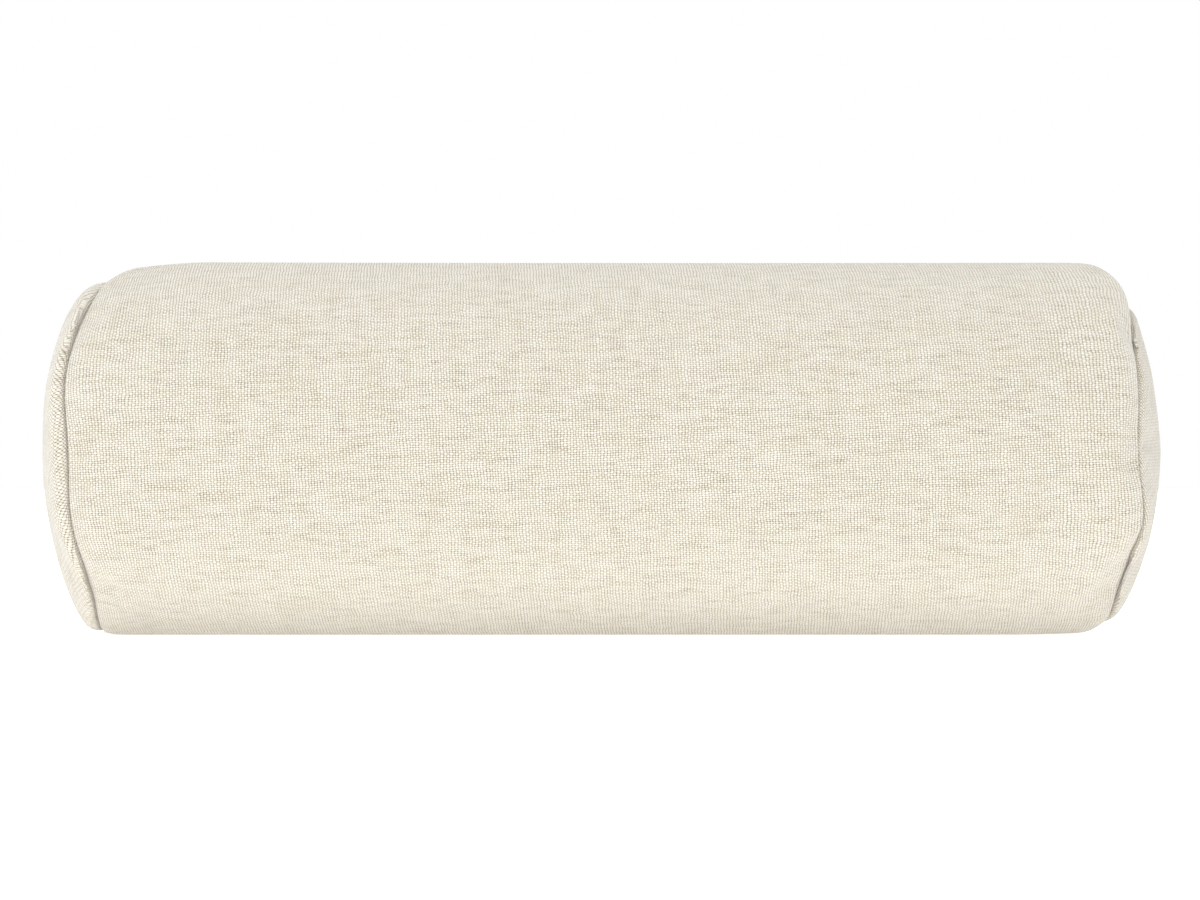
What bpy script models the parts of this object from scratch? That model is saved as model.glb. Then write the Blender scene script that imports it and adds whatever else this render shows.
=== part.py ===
"""Bolster pillow: a zipped, woven cover over a fibre-filled insert.

X runs along the bolster, -Y is its front, +Y is its back, where the zip is, and Z is up.
The origin is on the floor under the middle of the bolster. All sizes are in metres.
"""

import math
from collections import namedtuple

import bmesh
import bpy
from mathutils import Vector

GAP = 0.0003  # left between pieces that touch

# The filled cover, resting on a floor. The nominal size is 8 by 24 inches.
RADIUS = 0.1035
LENGTH = 0.610
END_SEAM_X = 0.277
END_SEAM_RADIUS = 0.0945
SETTLE = 0.004  # how far the bolster's weight flattens its underside
BACK_FLAT = 0.0013  # how far the stiff zip tapes flatten its back
AXIS_HEIGHT = RADIUS - SETTLE
BACK_Y = RADIUS - BACK_FLAT

# A tubular bag sewn from a barrel and two round ends. floor and back are the planes
# that its outer face is pressed against, and around is its number of facets.
Bag = namedtuple(
    "Bag", "radius seam_x seam_radius shoulder apex_x cloth allowance floor back around"
)
COVER = Bag(
    radius=RADIUS,
    seam_x=END_SEAM_X,
    seam_radius=END_SEAM_RADIUS,
    shoulder=0.040,
    apex_x=LENGTH / 2,
    cloth=0.0010,
    allowance=0.010,
    floor=0.0,
    back=BACK_Y,
    around=48,
)
INSERT = Bag(
    radius=0.1013,
    seam_x=0.258,
    seam_radius=0.0905,
    shoulder=0.043,
    apex_x=0.3035,
    cloth=0.0006,
    allowance=0.008,
    floor=COVER.cloth + GAP,
    back=BACK_Y - 0.0052,
    around=36,
)
SHOULDER_STEPS = 4
DOME_STEPS = 6
OVERLOCK_WIDTH = 0.003

# The loose fibre, which rounds off before it reaches the insert's end seams.
FILL_RADIUS = INSERT.radius - INSERT.cloth - GAP
FILL_SHOULDER_X = 0.190
FILL_APEX_X = INSERT.apex_x - INSERT.cloth - 2 * GAP

# The zip, in its own directions: x along it, w up across it and h out of the bolster,
# with h = 0 at the face of the fabric beside it.
SLOT_HALF_LENGTH = 0.232
SLOT_HALF_WIDTH = 0.0062
LIP_WIDTH = 0.0083  # the turned-under hem on each side of the slot
LIP_DEPTH = 0.0009
TAPE_INNER, TAPE_OUTER = 0.0012, 0.0150
TAPE_TOP, TAPE_THICK = -0.0022, 0.0006
TAPE_HALF_LENGTH = 0.244
COIL_TOP, COIL_BOTTOM = -0.0001, TAPE_TOP + GAP
COIL_WIDTH = 0.0027
COIL_CLOSED_W, COIL_OPEN_W = 0.00015, 0.0011  # a row's inner edge, meshed and parted
CHAIN_END_X = 0.2255

SLIDER_LENGTH = 0.013
SLIDER_MOUTH_X = -0.2255
SLIDER_TAIL_X = SLIDER_MOUTH_X + SLIDER_LENGTH
SLIDER_X = (SLIDER_MOUTH_X + SLIDER_TAIL_X) / 2
SPLAY_START_X, SPLAY_END_X = -0.2155, -0.2225  # where the rows part inside the slider
SPLAY = COIL_OPEN_W - COIL_CLOSED_W
WING_THICK = 0.0013
WING_GAP_BOTTOM, WING_GAP_TOP = TAPE_TOP - TAPE_THICK - GAP, 0.0001
TAIL_HALF_WIDTH = 0.0042
MOUTH_HALF_WIDTH = TAIL_HALF_WIDTH + SPLAY
FLANGE_INNER, FLANGE_THICK = 0.0032, 0.0008
WEDGE_HALF_WIDTH = 0.0008
CROWN_HALF_WIDTH = 0.0009
CROWN_INNER, CROWN_OUTER = 0.0030, 0.0041
CROWN_TOP, CROWN_THICK, CROWN_CHAMFER = 0.0047, 0.0011, 0.0006
WING_TOP = WING_GAP_TOP + WING_THICK

PULL_AXIS_H = 0.0025
PULL_LENGTH, PULL_HALF_WIDTH, PULL_THICK = 0.023, 0.0026, 0.0012
PULL_BAR = 0.00065  # half the width of the bar that the crown holds
PULL_WINDOW_END, PULL_WINDOW_HALF_WIDTH = 0.0052, 0.0013
PULL_HOLE_X, PULL_HOLE_RADIUS = 0.0190, 0.0011

STITCH_W, STITCH_RADIUS, STITCH_HALF_LENGTH = 0.0105, 0.00025, 0.238
TACK_X, TACK_WIDTH, TACK_HALF_LENGTH, TACK_HEIGHT = 0.2345, 0.002, 0.0062, 0.0008

LABEL_X, LABEL_LENGTH = 0.150, 0.045
LABEL_RADIUS, LABEL_THICK = 0.1016, 0.0004
LABEL_TOP_DEG, LABEL_DROP_DEG = 14.0, 18.0


def material(name, colour, roughness, metallic=0.0):
    made = bpy.data.materials.new(name)
    made.use_nodes = True
    shader = made.node_tree.nodes["Principled BSDF"]
    shader.inputs["Base Color"].default_value = (*colour, 1.0)
    shader.inputs["Roughness"].default_value = roughness
    shader.inputs["Metallic"].default_value = metallic
    return made


def add_object(name, bm, finish, smooth=True):
    """The bmesh as a named object whose faces point outwards."""
    bmesh.ops.recalc_face_normals(bm, faces=bm.faces)
    mesh = bpy.data.meshes.new(name)
    bm.to_mesh(mesh)
    bm.free()
    if smooth:
        mesh.shade_smooth()
        mesh.set_sharp_from_angle(angle=math.radians(35))
    mesh.materials.append(finish)
    made = bpy.data.objects.new(name, mesh)
    bpy.context.scene.collection.objects.link(made)
    return made


def turned(name, section, around, finish, floor=None, back=None):
    """A closed section of (x, radius, depth) points, spun about the bolster's axis.

    A point lies depth under the outer face of its layer, so that where the layer is
    pressed flat, against the floor or behind the zip, its cloth keeps its thickness.
    """
    bm = bmesh.new()
    depth_layer = bm.verts.layers.float.new("depth")
    for x, radius, depth in section:
        bm.verts.new((x, 0.0, radius))[depth_layer] = depth
    ring = bm.verts[:]
    closed = section[0][1] > 0.0
    for first, second in zip(ring, ring[1:] + ring[:1] if closed else ring[1:]):
        bm.edges.new((first, second))
    bmesh.ops.spin(
        bm,
        geom=bm.verts[:] + bm.edges[:],
        axis=(1, 0, 0),
        cent=(0, 0, 0),
        angle=math.tau,
        steps=around,
        use_merge=True,
    )
    bmesh.ops.remove_doubles(bm, verts=bm.verts, dist=1e-6)
    for vert in bm.verts:
        vert.co.z += AXIS_HEIGHT
        if floor is not None:
            vert.co.z = max(vert.co.z, floor + vert[depth_layer])
            vert.co.y = min(vert.co.y, back - vert[depth_layer])
    return add_object(name, bm, finish)


def barrel_half(bag, outside):
    """One half of a barrel's outer or inner face, from its straight part to its seam."""
    depth = 0.0 if outside else bag.cloth
    points = []
    for step in range(SHOULDER_STEPS + 1):
        turn = math.radians(90) * step / SHOULDER_STEPS
        x = bag.seam_x - bag.shoulder + (bag.shoulder - depth) * math.sin(turn)
        drop = bag.radius - depth - bag.seam_radius
        points.append((x, bag.seam_radius + drop * math.cos(turn), depth))
    return points


def add_barrel(name, bag, finish):
    """The tube of cloth: its ends round in to the seams, and their edges turn inside."""
    fold_x = bag.seam_x - bag.cloth
    fold_middle = bag.cloth * math.sin(math.radians(45))
    raw_x = fold_x - bag.allowance
    half = barrel_half(bag, True)
    half.append((fold_x + fold_middle, bag.seam_radius - fold_middle, 0.0))
    half.append((fold_x, bag.seam_radius - bag.cloth, 0.0))
    half.append((raw_x, bag.seam_radius - bag.cloth, 0.0))
    half.append((raw_x, bag.seam_radius, 0.0))
    half.extend(reversed(barrel_half(bag, False)))
    mirrored = [(-x, radius, depth) for x, radius, depth in reversed(half)]
    return turned(name, half + mirrored, bag.around, finish, bag.floor, bag.back)


def add_end(name, bag, side, finish):
    """A round end: domed by the filling, with its edge turned in beside the barrel's."""
    seam_x = bag.seam_x - bag.cloth
    raw_x = seam_x - bag.allowance
    rim = bag.seam_radius - bag.cloth - GAP
    section = []
    for depth in (0.0, bag.cloth):
        face = []
        for step in range(DOME_STEPS + 1):
            turn = math.radians(90) * step / DOME_STEPS
            rise = bag.apex_x - depth - seam_x
            x = seam_x + rise * math.cos(turn)
            face.append((side * x, (rim - depth) * math.sin(turn), depth))
        face.append((side * raw_x, rim - depth, depth))
        section.extend(face if depth == 0.0 else reversed(face))
    return turned(name, section, bag.around, finish)


def add_overlock(name, bag, side, finish):
    """The thread wrapped over the two raw edges of an end seam."""
    edge_x = bag.seam_x - bag.cloth - bag.allowance - GAP
    low = bag.seam_radius - 2 * bag.cloth - GAP
    high = bag.seam_radius
    chamfer = (high - low) / 4
    corners = [
        (edge_x, low + chamfer),
        (edge_x - chamfer, low),
        (edge_x - OVERLOCK_WIDTH + chamfer, low),
        (edge_x - OVERLOCK_WIDTH, low + chamfer),
        (edge_x - OVERLOCK_WIDTH, high - chamfer),
        (edge_x - OVERLOCK_WIDTH + chamfer, high),
        (edge_x - chamfer, high),
        (edge_x, high - chamfer),
    ]
    section = [(side * x, radius, 0.0) for x, radius in corners]
    return turned(name, section, bag.around, finish)


def add_filling(name, finish):
    """The fibre: a straight body with elliptical ends."""
    half = []
    for step in range(DOME_STEPS + 1):
        turn = math.radians(90) * step / DOME_STEPS
        reach = FILL_APEX_X - FILL_SHOULDER_X
        x = FILL_SHOULDER_X + reach * math.cos(turn)
        half.append((x, FILL_RADIUS * math.sin(turn), 0.0))
    section = half + [(-x, radius, 0.0) for x, radius, _ in reversed(half)]
    under = INSERT.cloth + GAP
    floor, back = INSERT.floor + under, INSERT.back - under
    return turned(name, section, INSERT.around, finish, floor, back)


def zip_point(x, w, h):
    return Vector((x, BACK_Y + h, AXIS_HEIGHT + w))


def extruded(name, outline, low, high, place, finish, bevel=0.0):
    """A flat outline of (a, b) points, drawn from low to high and put in place.

    place takes a, b and the height, and gives the point in the bolster's own frame.
    """
    bm = bmesh.new()
    face = bm.faces.new([bm.verts.new(place(a, b, low)) for a, b in outline])
    walls = bmesh.ops.extrude_face_region(bm, geom=[face], use_keep_orig=True)
    rise = place(0.0, 0.0, high) - place(0.0, 0.0, low)
    top = [item for item in walls["geom"] if isinstance(item, bmesh.types.BMVert)]
    bmesh.ops.translate(bm, verts=top, vec=rise)
    if bevel:
        sharp = [edge for edge in bm.edges if edge.calc_face_angle() > math.radians(20)]
        bmesh.ops.bevel(
            bm, geom=sharp, offset=bevel, segments=1, affect="EDGES", profile=0.5
        )
    return add_object(name, bm, finish)


def add_slab(name, x_span, w_span, h_span, finish, bevel=0.0):
    """A block on the zip, from its spans along x, w and h."""
    outline = [(x, w) for x, w in zip(x_span + x_span[::-1], sorted(w_span * 2))]
    return extruded(name, outline, *h_span, zip_point, finish, bevel)


def as_tool(helper):
    """Marks an object that only cuts or joins another."""
    helper.hide_render = True
    helper.display_type = "WIRE"
    return helper


def combine(target, helper, operation):
    modifier = target.modifiers.new(helper.name, "BOOLEAN")
    modifier.operation = operation
    modifier.object = as_tool(helper)


def add_cover_barrel(cloth):
    """The cover's barrel, with a hemmed slot for the zip along its back."""
    barrel = add_barrel("cover_barrel", COVER, cloth)
    lip_x = (-SLOT_HALF_LENGTH - 0.002, SLOT_HALF_LENGTH + 0.002)
    lip_h = (-COVER.cloth - LIP_DEPTH, -COVER.cloth + 0.0002)
    for side in (1, -1):
        near, far = SLOT_HALF_WIDTH - 0.0007, SLOT_HALF_WIDTH + LIP_WIDTH
        lip_w = tuple(sorted((side * near, side * far)))
        lip = add_slab(f"lip_{side}", lip_x, lip_w, lip_h, cloth)
        combine(barrel, lip, "UNION")
    slot = add_slab(
        "slot",
        (-SLOT_HALF_LENGTH, SLOT_HALF_LENGTH),
        (-SLOT_HALF_WIDTH, SLOT_HALF_WIDTH),
        (-0.006, 0.006),
        cloth,
    )
    combine(barrel, slot, "DIFFERENCE")
    return barrel


def parted(x, closed_w):
    """How far a line that follows a coil row lies from the zip's centre at x."""
    share = (SPLAY_START_X - x) / (SPLAY_START_X - SPLAY_END_X)
    return closed_w + SPLAY * min(max(share, 0.0), 1.0)


def add_row(name, side, inner_w, width, x_stops, h_span, finish, bevel=0.0):
    """A strip beside the zip's centre line that bends outwards where the rows part."""
    inner = [(x, side * parted(x, inner_w)) for x in x_stops]
    outer = [(x, side * parted(x, inner_w + width)) for x in reversed(x_stops)]
    return extruded(name, inner + outer, *h_span, zip_point, finish, bevel)


def add_zip_side(name, side, tape_cloth, nylon, metal, thread):
    """One half of the zip: its tape, its row of coil, its top stop and its stitching."""
    tape_w = tuple(sorted((side * TAPE_INNER, side * TAPE_OUTER)))
    tape_x = (-TAPE_HALF_LENGTH, TAPE_HALF_LENGTH)
    tape_h = (TAPE_TOP - TAPE_THICK, TAPE_TOP)
    add_slab(f"zip_tape_{name}", tape_x, tape_w, tape_h, tape_cloth)

    row_x = [SLIDER_MOUTH_X - 0.0004, SPLAY_END_X, SPLAY_START_X, CHAIN_END_X]
    row_h = (COIL_BOTTOM, COIL_TOP)
    add_row(
        f"zip_coil_{name}", side, COIL_CLOSED_W, COIL_WIDTH, row_x, row_h, nylon, 0.0004
    )

    stop_x = (SLIDER_MOUTH_X - 0.0035, SLIDER_MOUTH_X - 0.0007)
    near, far = COIL_OPEN_W - 0.0001, COIL_OPEN_W + COIL_WIDTH + 0.0001
    stop_w = tuple(sorted((side * near, side * far)))
    stop_h = (COIL_BOTTOM, COIL_TOP + GAP)
    add_slab(f"zip_top_stop_{name}", stop_x, stop_w, stop_h, metal, 0.0004)

    section = [
        (STITCH_RADIUS * math.cos(turn), STITCH_RADIUS * math.sin(turn))
        for turn in (math.tau * step / 8 for step in range(8))
    ]

    def stitch_place(w, h, x):
        return zip_point(x, side * STITCH_W + w, GAP + STITCH_RADIUS + h)

    ends = (-STITCH_HALF_LENGTH, STITCH_HALF_LENGTH)
    extruded(f"zip_topstitch_{name}", section, *ends, stitch_place, thread)


def add_slider(metal):
    """Two wings joined by a wedge, side flanges that squeeze the rows, and a crown."""
    wing_plan = [
        (SLIDER_MOUTH_X, MOUTH_HALF_WIDTH),
        (SPLAY_END_X, MOUTH_HALF_WIDTH),
        (SPLAY_START_X, TAIL_HALF_WIDTH),
        (SLIDER_TAIL_X, TAIL_HALF_WIDTH),
    ]
    wing_plan += [(x, -w) for x, w in reversed(wing_plan)]
    top_h = (WING_GAP_TOP, WING_TOP)
    bottom_h = (WING_GAP_BOTTOM - WING_THICK, WING_GAP_BOTTOM)
    slider = extruded("zip_slider", wing_plan, *top_h, zip_point, metal, 0.0004)
    bottom = extruded("bottom_wing", wing_plan, *bottom_h, zip_point, metal, 0.0004)

    bite = 0.0005  # how far each joined shape runs into the wings
    wedge_plan = [
        (SLIDER_MOUTH_X + 0.0006, 0.0004),
        (SLIDER_MOUTH_X + 0.0016, WEDGE_HALF_WIDTH),
        (SLIDER_MOUTH_X + 0.0027, WEDGE_HALF_WIDTH),
        (SLIDER_MOUTH_X + 0.0070, 0.0001),
    ]
    wedge_plan += [(x, -w) for x, w in reversed(wedge_plan)]
    wedge_h = (WING_GAP_BOTTOM - bite, WING_GAP_TOP + bite)
    wedge = extruded("wedge", wedge_plan, *wedge_h, zip_point, metal)

    flanges = []
    for side in (1, -1):
        row_x = [SLIDER_MOUTH_X + bite, SPLAY_END_X, SPLAY_START_X]
        row_x.append(SLIDER_TAIL_X - bite)
        span = (TAPE_TOP + GAP, WING_GAP_TOP + bite)
        name = f"flange_{side}"
        flanges.append(
            add_row(name, side, FLANGE_INNER, FLANGE_THICK, row_x, span, metal)
        )

    under = CROWN_TOP - CROWN_THICK
    foot = WING_TOP - bite
    arch = [
        (CROWN_OUTER, foot),
        (CROWN_OUTER, CROWN_TOP - CROWN_CHAMFER),
        (CROWN_OUTER - CROWN_CHAMFER, CROWN_TOP),
    ]
    hollow = [
        (CROWN_INNER - CROWN_CHAMFER, under),
        (CROWN_INNER, under - CROWN_CHAMFER),
        (CROWN_INNER, foot),
    ]
    outer = arch + [(-x, h) for x, h in reversed(arch)]
    inner = [(-x, h) for x, h in reversed(hollow)] + hollow

    def crown_place(x, h, w):
        return zip_point(SLIDER_X + x, w, h)

    crown_w = (-CROWN_HALF_WIDTH, CROWN_HALF_WIDTH)
    crown = extruded("crown", outer + inner, *crown_w, crown_place, metal)
    for shape in (bottom, wedge, *flanges, crown):
        combine(slider, shape, "UNION")
    return slider


def add_pull(metal):
    """The tab: its bar turns in the slider's crown, which passes through its window."""
    cap_x = PULL_LENGTH - PULL_HALF_WIDTH
    plan = [(-PULL_BAR, -PULL_HALF_WIDTH)]
    for step in range(7):
        turn = math.radians(-90 + 180 * step / 6)
        x = cap_x + PULL_HALF_WIDTH * math.cos(turn)
        plan.append((x, PULL_HALF_WIDTH * math.sin(turn)))
    plan.append((-PULL_BAR, PULL_HALF_WIDTH))

    def pull_place(x, w, h):
        return zip_point(SLIDER_X + x, w, PULL_AXIS_H + h)

    half = PULL_THICK / 2
    pull = extruded("zip_pull", plan, -half, half, pull_place, metal)
    window_plan = [
        (PULL_BAR, -PULL_WINDOW_HALF_WIDTH),
        (PULL_WINDOW_END, -PULL_WINDOW_HALF_WIDTH),
        (PULL_WINDOW_END, PULL_WINDOW_HALF_WIDTH),
        (PULL_BAR, PULL_WINDOW_HALF_WIDTH),
    ]
    hole_plan = [
        (
            PULL_HOLE_X + PULL_HOLE_RADIUS * math.cos(turn),
            PULL_HOLE_RADIUS * math.sin(turn),
        )
        for turn in (math.tau * step / 12 for step in range(12))
    ]
    for name, cut in (("window", window_plan), ("hole", hole_plan)):
        tool = extruded(name, cut, -2 * half, 2 * half, pull_place, metal)
        combine(pull, tool, "DIFFERENCE")
    return pull


def put_origin(piece, origin):
    """Moves an object's origin to a point, leaving its shape where it is."""
    helpers = [modifier.object for modifier in piece.modifiers]
    for each in (piece, *helpers):
        for vert in each.data.vertices:
            vert.co -= origin
        each.location = origin


def add_label(finish):
    """A blank care label, sewn in under the zip and lying along the cover's inside."""
    low, high = LABEL_RADIUS, LABEL_RADIUS + LABEL_THICK
    bm = bmesh.new()
    ends = (LABEL_X - LABEL_LENGTH / 2, LABEL_X + LABEL_LENGTH / 2)
    corners = [(ends[0], low), (ends[1], low), (ends[1], high), (ends[0], high)]
    start = math.radians(-LABEL_TOP_DEG)
    face = bm.faces.new(
        [
            bm.verts.new((x, radius * math.cos(start), radius * math.sin(start)))
            for x, radius in corners
        ]
    )
    bmesh.ops.spin(
        bm,
        geom=[face],
        axis=(1, 0, 0),
        cent=(0, 0, 0),
        angle=math.radians(-LABEL_DROP_DEG),
        steps=4,
    )
    bmesh.ops.translate(bm, verts=bm.verts, vec=(0, 0, AXIS_HEIGHT))
    return add_object("care_label", bm, finish)


for leftover in list(bpy.data.objects):
    bpy.data.objects.remove(leftover)

linen = material("linen_look_weave", (0.80, 0.75, 0.64), 0.9)
sewing_thread = material("sewing_thread", (0.78, 0.73, 0.62), 0.7)
tape_weave = material("zip_tape_weave", (0.72, 0.66, 0.55), 0.85)
coil_nylon = material("coil_nylon", (0.76, 0.71, 0.60), 0.4)
zip_metal = material("nickel_plate", (0.72, 0.70, 0.67), 0.3, metallic=1.0)
ticking = material("insert_ticking", (0.88, 0.88, 0.86), 0.85)
fibre = material("polyester_fibre", (0.92, 0.92, 0.91), 0.95)
label_satin = material("label_satin", (0.90, 0.90, 0.88), 0.45)

add_cover_barrel(linen)
add_barrel("insert_barrel", INSERT, ticking)
add_filling("fibre_filling", fibre)
for side_name, side in (("left", -1), ("right", 1)):
    add_end(f"cover_end_{side_name}", COVER, side, linen)
    add_end(f"insert_end_{side_name}", INSERT, side, ticking)
    add_overlock(f"cover_overlock_{side_name}", COVER, side, sewing_thread)
    add_overlock(f"insert_overlock_{side_name}", INSERT, side, sewing_thread)
    tack_x = (side * TACK_X - TACK_WIDTH / 2, side * TACK_X + TACK_WIDTH / 2)
    tack_w = (-TACK_HALF_LENGTH, TACK_HALF_LENGTH)
    tack_h = (GAP, GAP + TACK_HEIGHT)
    add_slab(f"bar_tack_{side_name}", tack_x, tack_w, tack_h, sewing_thread, 0.0003)

for side_name, side in (("upper", 1), ("lower", -1)):
    add_zip_side(side_name, side, tape_weave, coil_nylon, zip_metal, sewing_thread)
add_slab(
    "zip_bottom_stop",
    (CHAIN_END_X + GAP, CHAIN_END_X + GAP + 0.004),
    (-0.0034, 0.0034),
    (COIL_BOTTOM, COIL_TOP + 2 * GAP),
    zip_metal,
    0.0005,
)
add_slider(zip_metal)
put_origin(add_pull(zip_metal), zip_point(SLIDER_X, 0.0, PULL_AXIS_H))
add_label(label_satin)
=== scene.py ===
"""A bolster pillow: its looks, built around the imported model. All sizes are in metres.

X runs along the bolster, -Y is its front, +Y is its back, where the zip is, and Z is up.
"""

import math
from dataclasses import dataclass

import bmesh
import bpy
import numpy as np
from mathutils import Matrix, Vector, noise


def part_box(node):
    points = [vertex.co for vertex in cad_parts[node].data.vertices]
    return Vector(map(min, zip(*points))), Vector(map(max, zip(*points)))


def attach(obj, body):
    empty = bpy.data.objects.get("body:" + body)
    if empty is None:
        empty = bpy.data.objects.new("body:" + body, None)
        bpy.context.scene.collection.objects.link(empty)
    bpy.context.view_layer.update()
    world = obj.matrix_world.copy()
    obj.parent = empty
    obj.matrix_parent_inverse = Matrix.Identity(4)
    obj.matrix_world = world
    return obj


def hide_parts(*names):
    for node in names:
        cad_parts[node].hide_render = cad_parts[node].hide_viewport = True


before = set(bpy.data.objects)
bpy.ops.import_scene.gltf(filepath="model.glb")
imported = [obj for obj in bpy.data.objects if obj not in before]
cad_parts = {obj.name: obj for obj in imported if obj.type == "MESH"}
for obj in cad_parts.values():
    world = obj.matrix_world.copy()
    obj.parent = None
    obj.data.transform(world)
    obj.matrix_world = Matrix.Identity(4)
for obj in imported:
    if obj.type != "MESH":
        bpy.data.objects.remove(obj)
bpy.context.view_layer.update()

# Studio. A long lens stands straight in front of the bolster, level with its axis. The
# light is white and comes from all round, with a large soft light above on the left, and
# the floor is a pale light table, so that the underside is lit too.

barrel_low, barrel_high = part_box("cover_barrel")
RADIUS = -barrel_low.y
AXIS_HEIGHT = barrel_high.z - RADIUS
BACK_Y = barrel_high.y

lens = bpy.data.cameras.new("camera")
lens.lens = 90.7
camera = bpy.data.objects.new("camera", lens)
camera.location = (-0.001, -1.65, AXIS_HEIGHT + 0.0004)
camera.rotation_euler = (math.radians(90), 0, 0)
bpy.context.scene.collection.objects.link(camera)
bpy.context.scene.camera = camera
bpy.context.scene.view_settings.view_transform = "Standard"

studio_air = bpy.data.worlds.new("studio_air")
studio_air.use_nodes = True
studio_air.node_tree.nodes["Background"].inputs["Color"].default_value = (1, 1, 1, 1)
studio_air.node_tree.nodes["Background"].inputs["Strength"].default_value = 1.0
bpy.context.scene.world = studio_air


def add_soft_light(name, place, size, watts):
    """A square light that faces the middle of the bolster."""
    lamp = bpy.data.lights.new(name, "AREA")
    lamp.size = size
    lamp.energy = watts
    light = bpy.data.objects.new(name, lamp)
    light.location = place
    aim = Vector((0, 0, AXIS_HEIGHT)) - light.location
    light.rotation_euler = aim.to_track_quat("-Z", "Y").to_euler()
    bpy.context.scene.collection.objects.link(light)


add_soft_light("key_light", (-0.8, -0.9, 2.5), 1.6, 30)
add_soft_light("low_fill", (0.2, -2.4, 0.35), 1.6, 6)

floor_mesh = bpy.data.meshes.new("studio_floor")
floor_mesh.from_pydata(
    [(-6, -3, 0), (6, -3, 0), (6, 6, 0), (-6, 6, 0)], [], [(0, 1, 2, 3)]
)
floor_paint = bpy.data.materials.new("floor_paint")
floor_paint.use_nodes = True
floor_shader = floor_paint.node_tree.nodes["Principled BSDF"]
floor_shader.inputs["Base Color"].default_value = (0.93, 0.93, 0.93, 1)
floor_shader.inputs["Emission Color"].default_value = (1, 1, 1, 1)
floor_shader.inputs["Emission Strength"].default_value = 0.62
floor_shader.inputs["Roughness"].default_value = 0.9
floor_mesh.materials.append(floor_paint)
floor = bpy.data.objects.new("studio_floor", floor_mesh)
bpy.context.scene.collection.objects.link(floor)

# Cover, sewn and filled. A rectangle of upholstery cloth is sewn into a tube and closed
# with a round of the same cloth at each end. The seams wander a little and pucker where
# the thread gathers them. Here the sewn bag is inflated by a cloth simulation.


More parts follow.
